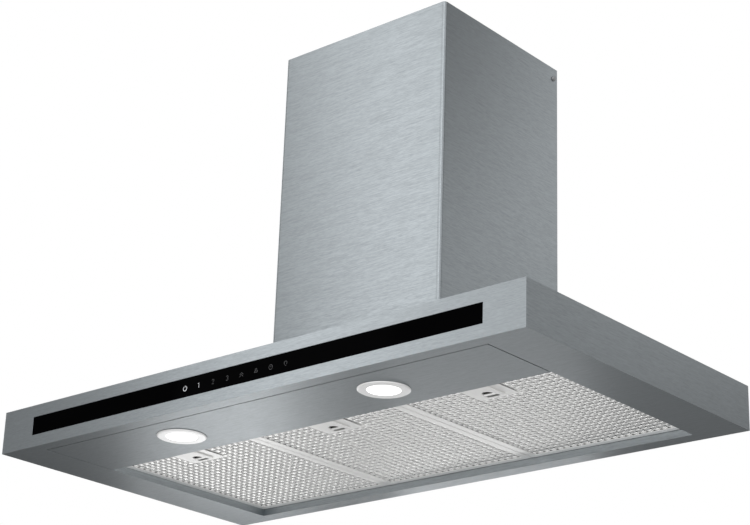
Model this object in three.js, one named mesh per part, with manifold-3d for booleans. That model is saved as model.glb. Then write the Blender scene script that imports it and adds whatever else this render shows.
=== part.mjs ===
// Wall-mounted chimney range hood: a flat canopy with lamps and grease filters, a blower, and a telescopic chimney.
// Millimetres. X to the right, Y towards the wall, Z up. The wall is the plane y = 0.
// The origin is the centre of the canopy's back, on the wall.

import * as THREE from "three";
import { mergeVertices } from "three/addons/utils/BufferGeometryUtils.js";
import Module from "manifold-3d";

const wasm = await Module();
wasm.setup();

// ---------------------------------------------------------------- driving dimensions

const fit = 0.3; // gap between pieces that seat on each other
const past = 1; // how far a cutting solid reaches past a face

// canopy
const canopyWidth = 900;
const canopyDepth = 480;
const canopyHeight = 60;
const canopySheet = 1.2;
const borderSide = 69; // flat border of the underside, left and right
const borderFront = 21;
const borderRear = 26;
const recessDepth = 10; // the filters' faces lie this far above the underside
const lipReturn = 9; // width of the turned-out top of the lip round the opening
const backFlange = 14;

// wall rail and its hooks
const railLength = 700;
const railHeight = 30;
const railSheet = 1.7;
const hookSpacing = 500;
const hookWidth = 24;
const hookRise = 6; // the hook's tip above the top of its slot
const slotTop = 8; // top edge of the hanging slots, above the canopy's middle
const slotHeight = 17;
const slotPlay = 2; // at each side of the hook
const railHoleRadius = 3.2;
const railHoleSpacing = 300;

// lamp panel and lamps
const lampPanelDepth = 122.6;
const panelSeam = 1.5;
const panelFlange = 8;
const lampSpacing = 352;
const lampInset = 59; // from the front edge of the opening to the lamps' centres
const lampHoleRadius = 30;
const bezelRadius = 33.5;
const bezelProud = 2.2;
const bezelNeckWall = 1.5;
const bezelNeckHeight = 12;
const bezelShelf = 1.2; // height of the shelf that carries the lens
const lensRadius = 21;
const lensShoulder = 4; // the part of the lens that rests on the shelf
const lensThickness = 2;
const lampBodyHeight = 22;
const lampSinkRadius = 22;
const lampSinkHeight = 8;
const clipSheet = 0.8;
const clipWidth = 12;
const clipFoot = 6;

// touch control
const glassWidth = 777;
const glassHeight = 25;
const glassThickness = 3;
const glassInset = 0.5; // behind the canopy's front face
const glassSeam = 0.5;
const carrierRim = 3;
const carrierEnd = 8;
const carrierDepth = 14;
const carrierWeb = 1.5;
const boardLength = 200;
const boardHeight = 20;
const boardThickness = 1.6;
const boardPlay = 1;
const plugLength = 16;
const plugHeight = 8;
const plugDepth = 6;
const plugOffset = -60;

// grease filters
const filterCount = 3;
const filterGap = 1;
const filterFrontGap = 0.8;
const filterRearGap = 1.2;
const filterThickness = 9;
const filterRim = 10.5;
const filterSheet = 0.8;
const tabLift = 2.7; // underside of the rear tabs above the filter's face
const tabThickness = 1.5;
const tabWidth = 24;
const tabReach = 6;
const tabSpacing = 160;
const netThickness = 1;
const netColumns = 7;
const netRows = 15;
const netStrand = 4.4;
const netMargin = 2;
const pleatCount = 12;
const pleatSheet = 0.8; // measured upright

// filter handle and latch, measured from the filter's front edge
const padWidth = 60;
const padLength = 66;
const handleWidth = 33;
const handleFront = 1.5;
const handleRear = 56;
const handleThickness = 2;
const fingerRadius = 7.25;
const lipFront = 44; // front of the sliding lip
const lipDepth = 6;
const lipWidth = 18.8;
const latchTravel = 4.5;
const latchPlay = 0.5;
const cupWidth = 26;
const cupFront = 6;
const cupRear = 57;
const gripWidth = 22;
const gripFront = 20;
const gripThickness = 1.5;
const gripBridge = 12; // length of the grip ahead of the finger hole
const springWidth = 12;
const springSheet = 0.6;
const noseReach = 4;

// blower
const boxSideGap = 7.7; // from the box's flange to the chimney's upper cover
const boxFrontGap = 3.7;
const boxRear = 16; // from the wall
const boxHeight = 260;
const boxSheet = 1;
const boxFlange = 10;
const throatEdge = 10; // the opening in the canopy stands this far inside the box
const screwFront = 200;
const screwRear = 60;
const screwRadius = 1.9;
const screwHoleRadius = 2.2;
const screwHeadRadius = 3.8;
const screwHeadHeight = 2;
const screwLength = 7;
const wheelFromWall = 114;
const wheelHeight = 120; // the wheel's axis above the canopy's top
const wheelRadius = 74;
const wheelHalfWidth = 66;
const wheelDisc = 2;
const wheelRing = 2;
const bladeCount = 20;
const bladeDepth = 12;
const bladeThickness = 1.4;
const hubRadius = 12;
const hubLength = 30;
const scrollHalfWidth = 78;
const scrollWall = 2;
const scrollStart = 83; // inner radius at the tongue
const scrollEnd = 113; // inner radius at the foot of the outlet
const scrollTongue = 15; // degrees behind the top
const scrollStep = 15;
const inletRadius = 62;
const neckFlange = 6;
const motorRadius = 40;
const motorBevel = 8;
const motorFace = 14; // from the wheel's disc to the motor's front
const shaftRadius = 4;
const shaftSunk = 45; // length of the shaft inside the motor
const shaftOut = 22; // length of the shaft past the wheel's disc
const bracketThickness = 3;
const bracketHub = 25;
const bracketArm = 10;
const bracketRing = 9;

// outlet collar and its two flaps
const collarFromWall = 148;
const collarRadius = 74;
const collarWall = 2;
const collarHeight = 55;
const collarFlange = 10;
const ledgeHeight = 10;
const ledgeThickness = 2;
const ledgeWidth = 3;
const flapThickness = 1.2;
const flapRadius = 70.5;
const flapBarrel = 2;
const flapPin = 1.5;
const flapAxisOffset = 2.5;

// electrics
const capacitorRadius = 15;
const capacitorHeight = 55;
const capacitorSideGap = 3;
const capacitorLift = 30;
const caseInset = 170; // from the canopy's left end to the case's middle
const caseFromWall = 280;
const caseWidth = 120;
const caseDepth = 100;
const caseHeight = 24;
const caseWall = 1.5;
const caseLid = 2.5;
const caseBoss = 6;
const caseBossHeight = 6;
const transformerWidth = 30;
const transformerHeight = 9.4;
const transformerX = -23; // from the middle of the case
const relayWidth = 18;
const relayHeight = 7.4;
const relayX = 18;
const relayY = 12;
const glandInset = 33; // from the box's side
const glandFromWall = 45;
const glandRadius = 8;
const glandBore = 4;
const glandFlangeRadius = 12;
const glandHeight = 18;
const glandNeck = 8;
const cableRadius = 2.5;

// chimney
const chimneyWidth = 300;
const chimneyDepth = 266;
const chimneyHeight = 547;
const chimneySheet = 1;
const chimneyCorner = 5.5;
const chimneyReturn = 15;
const chimneyPlay = 0.5;
const upperFrontPlay = 2.3;
const bracketSheet = 1.5;
const bracketHeight = 16;
const bracketEar = 22;
const bracketDrop = 17.3; // from the chimney's top to its screws
const ceilingStrip = 8.8; // height of the ceiling bracket's strip
const chimneyScrewInset = 9.2; // from the wall

// ---------------------------------------------------------------- places worked out from them

const zTop = canopyHeight / 2;
const zUnder = -canopyHeight / 2;
const yFront = -canopyDepth;
const canopyHalf = canopyWidth / 2;
const openHalf = canopyHalf - borderSide;
const openFront = yFront + borderFront;
const openRear = -borderRear;
const faceZ = zUnder + recessDepth;
const lipTop = faceZ + tabLift - fit;
const panelRear = openFront + lampPanelDepth;
const springLift = gripThickness + fit;
const strikeTop = faceZ + springLift - fit;

const glassBack = yFront + glassInset + glassThickness;
const carrierFace = yFront + canopySheet + fit;
const carrierFloor = glassBack + fit; // front of the carrier's web

const filterPitch = (2 * openHalf) / filterCount;
const filterWidth = filterPitch - filterGap;
const filterFront = panelRear + filterFrontGap;
const filterLength = openRear - filterRearGap - filterFront;
const netBottom = filterSheet + fit;
const mediaBottom = netBottom + netThickness + fit;

const chimneyBottom = zTop + fit;
const chimneyTop = zTop + chimneyHeight;
const chimneyHalf = chimneyWidth / 2;
const bracketHalf = chimneyHalf - chimneySheet - fit;
const upperHalf = bracketHalf - bracketSheet - chimneyPlay;
const upperFront = -chimneyDepth + chimneySheet + upperFrontPlay;
const bracketZ = chimneyTop - bracketDrop;

const boxBottom = zTop + fit;
const boxTop = boxBottom + boxHeight;
const boxHalfWidth = upperHalf - chimneySheet - boxSideGap - boxFlange;
const boxFront = -upperFront - chimneySheet - boxFrontGap - boxFlange; // from the wall
const capacitorX = boxHalfWidth - boxSheet - capacitorSideGap - capacitorRadius;
const glandX = boxHalfWidth - glandInset;
const caseX = -canopyHalf + caseInset;
const wheelY = -wheelFromWall;
const wheelZ = zTop + wheelHeight;
const collarY = -collarFromWall;
const collarBottom = boxTop + fit;
const flapBottom = collarBottom + ledgeHeight + ledgeThickness + fit;
const flapAxisZ = flapBottom + flapBarrel;

// ---------------------------------------------------------------- solids

/** Six times the volume inside a triangle mesh, negative where its faces point inwards. */
function signedVolume(position, index) {
  const a = new THREE.Vector3();
  const b = new THREE.Vector3();
  const c = new THREE.Vector3();
  let sum = 0;
  for (let i = 0; i < index.length; i += 3) {
    a.fromArray(position, 3 * index[i]);
    b.fromArray(position, 3 * index[i + 1]);
    c.fromArray(position, 3 * index[i + 2]);
    sum += a.dot(b.cross(c));
  }
  return sum;
}

/** Turns a closed geometry into a solid that can be joined and cut. */
function solid(geometry) {
  geometry.deleteAttribute("normal");
  geometry.deleteAttribute("uv");
  const merged = mergeVertices(geometry, 1e-4);
  const position = merged.getAttribute("position").array;
  const source = merged.index.array;
  const index = [];
  for (let i = 0; i < source.length; i += 3) {
    const [a, b, c] = [source[i], source[i + 1], source[i + 2]];
    if (a !== b && b !== c && c !== a) index.push(a, b, c);
  }
  if (signedVolume(position, index) < 0) index.reverse();
  const mesh = new wasm.Mesh({
    numProp: 3,
    vertProperties: new Float32Array(position),
    triVerts: new Uint32Array(index),
  });
  return new wasm.Manifold(mesh);
}

/** A box between two values on each axis. */
function block(x0, x1, y0, y1, z0, z1) {
  const box = new THREE.BoxGeometry(x1 - x0, y1 - y0, z1 - z0);
  return solid(box.translate((x0 + x1) / 2, (y0 + y1) / 2, (z0 + z1) / 2));
}

function outline(points) {
  return new THREE.Shape(points.map(([u, v]) => new THREE.Vector2(u, v)));
}

/** An outline in X and Y, extruded from z0 to z1. */
function prismZ(shape, z0, z1, curveSegments = 6) {
  const options = { depth: z1 - z0, bevelEnabled: false, curveSegments };
  return solid(new THREE.ExtrudeGeometry(shape, options).translate(0, 0, z0));
}

/** An outline in Y and Z, extruded from x0 to x1. */
function prismX(shape, x0, x1, curveSegments = 6) {
  const options = { depth: x1 - x0, bevelEnabled: false, curveSegments };
  const turn = new THREE.Matrix4().makeBasis(
    new THREE.Vector3(0, 1, 0),
    new THREE.Vector3(0, 0, 1),
    new THREE.Vector3(1, 0, 0),
  );
  return solid(new THREE.ExtrudeGeometry(shape, options).applyMatrix4(turn).translate(x0, 0, 0));
}

/** A profile of [radius, height] points turned about the Z axis. */
function turnedZ(profile, segments = 32) {
  const points = profile.map(([r, h]) => new THREE.Vector2(r, h));
  return solid(new THREE.LatheGeometry(points, segments).rotateX(Math.PI / 2));
}

/** A profile of [radius, place along X] points turned about a line along X. */
function turnedX(profile, y, z, segments = 32) {
  const points = profile.map(([r, h]) => new THREE.Vector2(r, h));
  return solid(new THREE.LatheGeometry(points, segments).rotateZ(-Math.PI / 2).translate(0, y, z));
}

/** The profile of a ring or tube, from r0 to r1 and from h0 to h1. */
function ringProfile(r0, r1, h0, h1) {
  return [[r0, h0], [r1, h0], [r1, h1], [r0, h1], [r0, h0]];
}

/** The profile of a full round bar. */
function barProfile(radius, h0, h1) {
  return [[0, h0], [radius, h0], [radius, h1], [0, h1]];
}

function rodX(radius, x0, x1, y, z, segments = 12) {
  return turnedX(barProfile(radius, x0, x1), y, z, segments);
}

function rodZ(radius, x, y, z0, z1, segments = 12) {
  return turnedZ(barProfile(radius, z0, z1), segments).translate([x, y, 0]);
}

function rodY(radius, x, y0, y1, z, segments = 12) {
  const bar = new THREE.CylinderGeometry(radius, radius, y1 - y0, segments);
  return solid(bar.translate(x, (y0 + y1) / 2, z));
}

/** Both solids of a pair that is mirrored in the plane x = 0, joined to a first one. */
function joinPair(first, make) {
  return first.add(make(-1)).add(make(1));
}

function cutPair(first, make) {
  return first.subtract(make(-1)).subtract(make(1));
}

/** A block whose x range is mirrored by side. */
function sideBlock(side, x0, x1, y0, y1, z0, z1) {
  const [a, b] = side > 0 ? [x0, x1] : [-x1, -x0];
  return block(a, b, y0, y1, z0, z1);
}

/** A strip of even thickness along a line of [y, z] points, extruded in X. */
function strip(points, thickness, halfWidth) {
  const line = points.map(([y, z]) => new THREE.Vector2(y, z));
  const above = [];
  const below = [];
  line.forEach((point, i) => {
    const before = line[Math.max(i - 1, 0)];
    const after = line[Math.min(i + 1, line.length - 1)];
    const along = after.clone().sub(before).normalize();
    const across = new THREE.Vector2(-along.y, along.x).multiplyScalar(thickness / 2);
    above.push(point.clone().add(across));
    below.push(point.clone().sub(across));
  });
  return prismX(new THREE.Shape([...below, ...above.reverse()]), -halfWidth, halfWidth);
}

/** A round cable along a smooth curve through the points. */
function cable(points, steps) {
  const curve = new THREE.CatmullRomCurve3(points.map((p) => new THREE.Vector3(...p)));
  const section = new THREE.Shape();
  section.absarc(0, 0, cableRadius, 0, 2 * Math.PI);
  const options = { steps, extrudePath: curve, curveSegments: 4, bevelEnabled: false };
  return solid(new THREE.ExtrudeGeometry(section, options));
}

// ---------------------------------------------------------------- materials

function finish(color, roughness, metalness) {
  return new THREE.MeshStandardMaterial({ color, roughness, metalness, flatShading: true });
}

const steel = () => finish(0xa3a6a8, 0.36, 1);
const innerSteel = () => finish(0x8f9294, 0.45, 1);
const chrome = () => finish(0xe6e8ea, 0.1, 1);
const aluminium = () => finish(0xdadbdb, 0.42, 1);
const aluminiumNet = () => finish(0xd2d3d3, 0.5, 1);
const springSteel = () => finish(0x4c4d4f, 0.4, 1);
const galvanised = () => finish(0xb4b8bb, 0.5, 1);
const blackGlass = () => finish(0x050506, 0.06, 0);
const blackPlastic = () => finish(0x191a1b, 0.55, 0);
const greyPlastic = () => finish(0x5b5e61, 0.55, 0);
const frostedGlass = () => finish(0xfbfbf6, 0.35, 0);
const circuitBoard = () => finish(0x1f5a35, 0.5, 0);
const castMetal = () => finish(0x77797b, 0.55, 1);
const cableSheath = () => finish(0x2a2b2c, 0.6, 0);

// ---------------------------------------------------------------- canopy

function blowerOpening() {
  const inset = boxSheet + throatEdge;
  return block(
    -boxHalfWidth + inset, boxHalfWidth - inset,
    -boxFront + inset, -boxRear - inset,
    zTop - canopySheet - past, zTop + past,
  );
}

function blowerScrewPlaces() {
  const x = boxHalfWidth + boxFlange / 2;
  return [[-x, -screwFront], [x, -screwFront], [-x, -screwRear], [x, -screwRear]];
}

function canopyShell() {
  const t = canopySheet;
  let shell = block(-canopyHalf, canopyHalf, yFront, 0, zUnder, zTop);
  shell = shell.subtract(
    block(-canopyHalf + t, canopyHalf - t, yFront + t, past, zUnder + t, zTop - t),
  );
  const lip = block(-openHalf - t, openHalf + t, openFront - t, openRear + t, zUnder, lipTop);
  const turned = block(
    -openHalf - lipReturn, openHalf + lipReturn,
    openFront - lipReturn, openRear + lipReturn,
    lipTop - t, lipTop,
  );
  shell = shell.add(lip).add(turned);
  shell = shell.subtract(
    block(-openHalf, openHalf, openFront, openRear, zUnder - past, lipTop + past),
  );
  shell = shell.subtract(blowerOpening());
  for (const [x, y] of blowerScrewPlaces()) {
    shell = shell.subtract(rodZ(screwHoleRadius, x, y, zTop - t - past, zTop + past));
  }
  const cutHalf = glassWidth / 2 + glassSeam;
  const cutHeight = glassHeight / 2 + glassSeam;
  return shell.subtract(
    block(-cutHalf, cutHalf, yFront - past, yFront + t + past, -cutHeight, cutHeight),
  );
}

function backPanel() {
  const t = canopySheet;
  const half = canopyHalf - t - fit;
  const height = zTop - t - fit;
  const rear = -railSheet - fit;
  let panel = block(-half, half, -backFlange, rear, -height, height);
  panel = panel.subtract(
    block(-half + t, half - t, -backFlange - past, rear - t, -height + t, height - t),
  );
  const slotHalf = hookWidth / 2 + slotPlay;
  return cutPair(panel, (side) => sideBlock(
    side,
    hookSpacing / 2 - slotHalf, hookSpacing / 2 + slotHalf,
    rear - t - past, past,
    slotTop - slotHeight, slotTop,
  ));
}

function wallRail() {
  const tabTop = slotTop - fit;
  const tipRear = -railSheet - fit - canopySheet - fit;
  let rail = block(-railLength / 2, railLength / 2, -railSheet, 0, -railHeight / 2, railHeight / 2);
  rail = joinPair(rail, (side) => {
    const x0 = hookSpacing / 2 - hookWidth / 2;
    const x1 = hookSpacing / 2 + hookWidth / 2;
    const arm = sideBlock(side, x0, x1, tipRear - railSheet, 0, tabTop - railSheet, tabTop);
    const tip = sideBlock(
      side, x0, x1, tipRear - railSheet, tipRear, tabTop - railSheet, slotTop + hookRise,
    );
    return arm.add(tip);
  });
  return cutPair(rail, (side) => (
    rodY(railHoleRadius, (side * railHoleSpacing) / 2, -railSheet - past, past, 0)
  ));
}

// ---------------------------------------------------------------- lamp panel and lamps

function lampPlaces() {
  return [["left", -lampSpacing / 2], ["right", lampSpacing / 2]];
}

const lampY = openFront + lampInset;

function lampPanel() {
  const t = canopySheet;
  const half = openHalf - panelSeam;
  const front = openFront + panelSeam;
  const wallTop = lipTop + fit + t;
  const flangeHalf = openHalf + panelFlange;
  let panel = block(-half, half, front, panelRear, zUnder, wallTop);
  const flange = block(
    -flangeHalf, flangeHalf, openFront - panelFlange, panelRear, lipTop + fit, wallTop,
  );
  panel = panel.add(flange).subtract(
    block(-half + t, half - t, front + t, panelRear - t, zUnder + t, wallTop + past),
  );
  panel = panel.subtract(
    block(
      -half + t, half - t, panelRear - t - past, panelRear + past, strikeTop, wallTop + past,
    ),
  );
  for (const [, x] of lampPlaces()) {
    panel = panel.subtract(
      rodZ(lampHoleRadius, x, lampY, zUnder - past, zUnder + t + past, 32),
    );
  }
  return panel;
}

const neckRadius = lampHoleRadius - 2 * fit;
const neckInner = neckRadius - bezelNeckWall;
const lensTop = bezelShelf + fit + lensThickness;

function lampBezel() {
  const window = lensRadius + fit;
  return turnedZ([
    [window, -bezelProud + 0.6],
    [window + 1, -bezelProud],
    [bezelRadius - 2.2, -bezelProud],
    [bezelRadius, -fit - 0.6],
    [bezelRadius, -fit],
    [neckRadius, -fit],
    [neckRadius, bezelNeckHeight],
    [neckInner, bezelNeckHeight],
    [neckInner, bezelShelf],
    [window, bezelShelf],
    [window, -bezelProud + 0.6],
  ], 36);
}

function lampLens() {
  const shoulder = Math.min(lensRadius + lensShoulder, neckInner - fit);
  return turnedZ([
    [0, -bezelProud + 0.3],
    [lensRadius - 3, -bezelProud + 0.3],
    [lensRadius, -bezelProud + 1.1],
    [lensRadius, bezelShelf + fit],
    [shoulder, bezelShelf + fit],
    [shoulder, lensTop],
    [0, lensTop],
  ], 32);
}

function lampBody() {
  const radius = neckInner - fit;
  const bottom = lensTop + fit;
  const shoulder = bottom + lampBodyHeight - lampSinkHeight;
  const top = bottom + lampBodyHeight;
  return turnedZ([
    [0, bottom],
    [radius, bottom],
    [radius, shoulder],
    [lampSinkRadius, shoulder],
    [lampSinkRadius, top],
    [0, top],
  ], 24);
}

function lampClip() {
  const foot = canopySheet + fit;
  const top = lensTop + fit + lampBodyHeight + fit;
  const legInner = lampHoleRadius + fit;
  const legOuter = legInner + clipSheet;
  const half = clipWidth / 2;
  const bridge = block(-legOuter, legOuter, -half, half, top, top + clipSheet);
  return joinPair(bridge, (side) => {
    const leg = sideBlock(side, legInner, legOuter, -half, half, foot, top + clipSheet);
    return leg.add(
      sideBlock(side, legInner, legOuter + clipFoot, -half, half, foot, foot + clipSheet),
    );
  });
}

// ---------------------------------------------------------------- touch control

function controlGlass() {
  return block(
    -glassWidth / 2, glassWidth / 2,
    yFront + glassInset, glassBack,
    -glassHeight / 2, glassHeight / 2,
  );
}

function controlCarrier() {
  const half = glassWidth / 2 + carrierEnd;
  const height = glassHeight / 2 + carrierRim;
  const rear = carrierFace + carrierDepth;
  const pocket = boardLength / 2 + boardPlay;
  const pocketHeight = boardHeight / 2 + boardPlay;
  return block(-half, half, carrierFace, rear, -height, height)
    .subtract(block(
      -glassWidth / 2 - glassSeam, glassWidth / 2 + glassSeam,
      carrierFace - past, carrierFloor,
      -glassHeight / 2 - glassSeam, glassHeight / 2 + glassSeam,
    ))
    .subtract(block(
      -pocket, pocket,
      carrierFloor + carrierWeb, rear + past,
      -pocketHeight, pocketHeight,
    ));
}

const boardFace = carrierFloor + carrierWeb + fit;

function controlBoard() {
  const board = block(
    -boardLength / 2, boardLength / 2,
    boardFace, boardFace + boardThickness,
    -boardHeight / 2, boardHeight / 2,
  );
  const plug = block(
    plugOffset - plugLength / 2, plugOffset + plugLength / 2,
    boardFace, boardFace + boardThickness + plugDepth,
    -plugHeight / 2, plugHeight / 2,
  );
  return board.add(plug);
}

// ---------------------------------------------------------------- grease filters
// Each filter is modelled with its front edge at y = 0, its lower face at z = 0 and its middle at x = 0.

function filterNames() {
  return filterCount === 3
    ? ["left", "middle", "right"]
    : Array.from({ length: filterCount }, (_, i) => `${i + 1}`);
}

function filterFrame() {
  const half = filterWidth / 2;
  const s = filterSheet;
  const depth = filterLength;
  let frame = block(-half, half, 0, depth, 0, filterThickness);
  frame = frame.subtract(block(
    -half + filterRim, half - filterRim,
    filterRim, depth - filterRim,
    -past, filterThickness + past,
  ));
  frame = frame.subtract(block(-half + s, half - s, s, depth - s, s, filterThickness - s));
  frame = frame.add(block(-padWidth / 2, padWidth / 2, 0, padLength, 0, s));
  const cup = cupWidth / 2;
  frame = frame.add(block(-cup - s, cup + s, 0, cupRear + s, 0, filterThickness));
  frame = frame.subtract(block(-cup, cup, s, cupRear, s, filterThickness - s));
  frame = frame.subtract(block(-cup, cup, cupFront, cupRear, -past, s + past));
  const nose = springWidth / 2 + latchPlay;
  frame = frame.subtract(block(
    -nose, nose, -past, s + past, springLift - fit, springLift + springSheet + 2 * latchPlay,
  ));
  return joinPair(frame, (side) => sideBlock(
    side,
    tabSpacing / 2 - tabWidth / 2, tabSpacing / 2 + tabWidth / 2,
    depth - s, depth + filterRearGap + tabReach,
    tabLift, tabLift + tabThickness,
  ));
}

/** The outline inside the filter's channel, with a notch round the latch cup. */
function fillShape() {
  const half = filterWidth / 2 - filterSheet - fit;
  const front = filterSheet + fit;
  const rear = filterLength - filterSheet - fit;
  const notch = cupWidth / 2 + filterSheet + fit;
  const notchRear = cupRear + filterSheet + fit;
  return outline([
    [-half, front], [-notch, front], [-notch, notchRear], [notch, notchRear],
    [notch, front], [half, front], [half, rear], [-half, rear],
  ]);
}

function diamond(x, y, halfWidth, halfDepth) {
  return outline([
    [x - halfWidth, y], [x, y - halfDepth], [x + halfWidth, y], [x, y + halfDepth],
  ]);
}

/** The expanded-metal net: staggered rows of diamond gaps with strands of even width between them. */
function filterNet() {
  const top = netBottom + netThickness;
  let net = prismZ(fillShape(), netBottom, top);
  const x0 = -filterWidth / 2 + filterRim + netMargin;
  const y0 = filterRim + netMargin;
  const pitchX = (-2 * x0) / netColumns;
  const pitchY = (filterLength - 2 * y0) / netRows;
  const strandShare = netStrand / Math.hypot(pitchX, pitchY);
  const halfWidth = pitchX * (0.5 - strandShare / 2);
  const halfDepth = pitchY * (1 - strandShare);
  for (let row = 0; row <= netRows; row += 1) {
    const y = y0 + row * pitchY;
    const shifted = row % 2 === 1;
    const count = shifted ? netColumns - 1 : netColumns;
    for (let column = 0; column < count; column += 1) {
      const x = x0 + (column + (shifted ? 1 : 0.5)) * pitchX;
      const nearPad = Math.abs(x) < padWidth / 2 + halfWidth && y < padLength + halfDepth;
      const inside = y > y0 + halfDepth / 2 && y < filterLength - y0 - halfDepth / 2;
      if (inside && !nearPad) {
        const gap = diamond(x, y, halfWidth, halfDepth);
        net = net.subtract(prismZ(gap, netBottom - past, top + past));
      }
    }
  }
  return net;
}

/** A pleated sheet of fine net over the whole filter, folded along the filter's length. */
function filterMedia() {
  const top = filterThickness - filterSheet - fit;
  const half = filterWidth / 2 - filterSheet - fit;
  const fold = half / pleatCount;
  const above = [];
  const below = [];
  for (let i = 0; i <= 2 * pleatCount; i += 1) {
    const x = -half + i * fold;
    const low = i % 2 === 0 ? mediaBottom : top - pleatSheet;
    below.push([x, low]);
    above.push([x, low + pleatSheet]);
  }
  const front = filterSheet + fit;
  const length = filterLength - 2 * front;
  const pleats = prismZ(outline([...below, ...above.reverse()]), 0, length);
  const notch = cupWidth / 2 + filterSheet + fit;
  const notchRear = cupRear + filterSheet + fit;
  return pleats.rotate([90, 0, 0]).translate([0, front + length, 0]).subtract(
    block(-notch, notch, 0, notchRear, mediaBottom - past, top + past),
  );
}

function filterHandle() {
  const half = handleWidth / 2;
  const shape = outline([
    [-half, handleFront], [half, handleFront], [half, handleRear], [-half, handleRear],
  ]);
  const slotHalf = lipWidth / 2 + fit;
  const slotFront = lipFront - fit;
  const slotRear = lipFront + lipDepth + latchTravel + latchPlay;
  const centre = slotFront - fingerRadius / 4;
  const window = new THREE.Path();
  window.moveTo(-slotHalf, slotFront);
  window.lineTo(-fingerRadius, slotFront);
  window.lineTo(-fingerRadius, centre);
  window.absarc(0, centre, fingerRadius, Math.PI, 2 * Math.PI);
  window.lineTo(fingerRadius, slotFront);
  window.lineTo(slotHalf, slotFront);
  window.lineTo(slotHalf, slotRear);
  window.lineTo(-slotHalf, slotRear);
  shape.holes.push(window);
  return prismZ(shape, -fit - handleThickness, -fit, 6);
}

function latchGrip() {
  const rear = lipFront + lipDepth;
  const bar = (gripWidth - 2 * fingerRadius) / 2 - fit;
  const windowHalf = gripWidth / 2 - bar;
  const plate = block(-gripWidth / 2, gripWidth / 2, gripFront, rear, 0, gripThickness)
    .subtract(block(
      -windowHalf, windowHalf, gripFront + gripBridge, lipFront, -past, gripThickness + past,
    ));
  const tip = -handleThickness;
  const lip = outline([
    [lipFront, gripThickness], [lipFront, -0.4], [lipFront + 1.8, tip], [rear, tip], [rear, gripThickness],
  ]);
  return plate.add(prismX(lip, -lipWidth / 2, lipWidth / 2));
}

function latchSpring() {
  const low = springLift + springSheet / 2;
  const high = filterThickness - filterSheet - fit - springSheet / 2;
  const leave = gripFront + gripBridge / 3;
  const end = cupRear - fit;
  return strip([
    [-noseReach, low],
    [leave, low],
    [leave + 4, low + 1.3],
    [leave + 8, high - 1],
    [leave + 11, high],
    [end, high],
  ], springSheet, springWidth / 2);
}

// ---------------------------------------------------------------- blower

function blowerBox() {
  const s = boxSheet;
  let box = block(-boxHalfWidth, boxHalfWidth, -boxFront, -boxRear, boxBottom, boxTop);
  box = box.add(block(
    -boxHalfWidth - boxFlange, boxHalfWidth + boxFlange,
    -boxFront - boxFlange, -boxRear + boxFlange,
    boxBottom, boxBottom + s,
  ));
  box = box.subtract(block(
    -boxHalfWidth + s, boxHalfWidth - s,
    -boxFront + s, -boxRear - s,
    boxBottom - past, boxTop - s,
  ));
  box = box.subtract(
    rodZ(collarRadius - collarWall, 0, collarY, boxTop - s - past, boxTop + past, 32),
  );
  box = box.subtract(
    rodZ(glandRadius + fit, glandX, -glandFromWall, boxTop - s - past, boxTop + past, 16),
  );
  for (const [x, y] of blowerScrewPlaces()) {
    box = box.subtract(rodZ(screwHoleRadius, x, y, boxBottom - past, boxBottom + s + past));
  }
  return box;
}

/** A screw that stands upright with the underside of its head at z = 0. */
function uprightScrew() {
  return turnedZ([
    [0, -screwLength],
    [screwRadius, -screwLength],
    [screwRadius, 0],
    [screwHeadRadius, 0],
    [screwHeadRadius - 0.8, screwHeadHeight],
    [0, screwHeadHeight],
  ], 12);
}

/** The scroll's section in Y and Z: it grows from the tongue round the wheel and ends in the outlet. */
function scrollShape(wall, top) {
  const points = [];
  const sweep = 270 - scrollTongue;
  for (let angle = scrollTongue; angle <= 270; angle += scrollStep) {
    const share = (angle - scrollTongue) / sweep;
    const radius = scrollStart + (scrollEnd - scrollStart) * share + wall;
    const turn = THREE.MathUtils.degToRad(angle);
    points.push([wheelY + radius * Math.sin(turn), wheelZ + radius * Math.cos(turn)]);
  }
  points.push([wheelY - scrollEnd - wall, top]);
  points.push([collarY + collarRadius + wall, top]);
  return outline(points);
}

function scrollHalf(side) {
  const seam = fit / 2;
  const top = boxTop - boxSheet - fit;
  const range = (a, b) => (side > 0 ? [a, b] : [-b, -a]);
  let half = prismX(scrollShape(scrollWall, top), ...range(seam, scrollHalfWidth));
  const flangeTop = block(
    ...range(seam, scrollHalfWidth + neckFlange),
    wheelY - scrollEnd - scrollWall - neckFlange, collarY + collarRadius + scrollWall + neckFlange,
    top - scrollWall, top,
  );
  half = half.add(flangeTop);
  half = half.subtract(
    prismX(scrollShape(0, top + past), ...range(seam - past, scrollHalfWidth - scrollWall)),
  );
  const inlet = range(scrollHalfWidth - scrollWall - past, scrollHalfWidth + past);
  return half.subtract(rodX(inletRadius, ...inlet, wheelY, wheelZ, 32));
}

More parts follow.
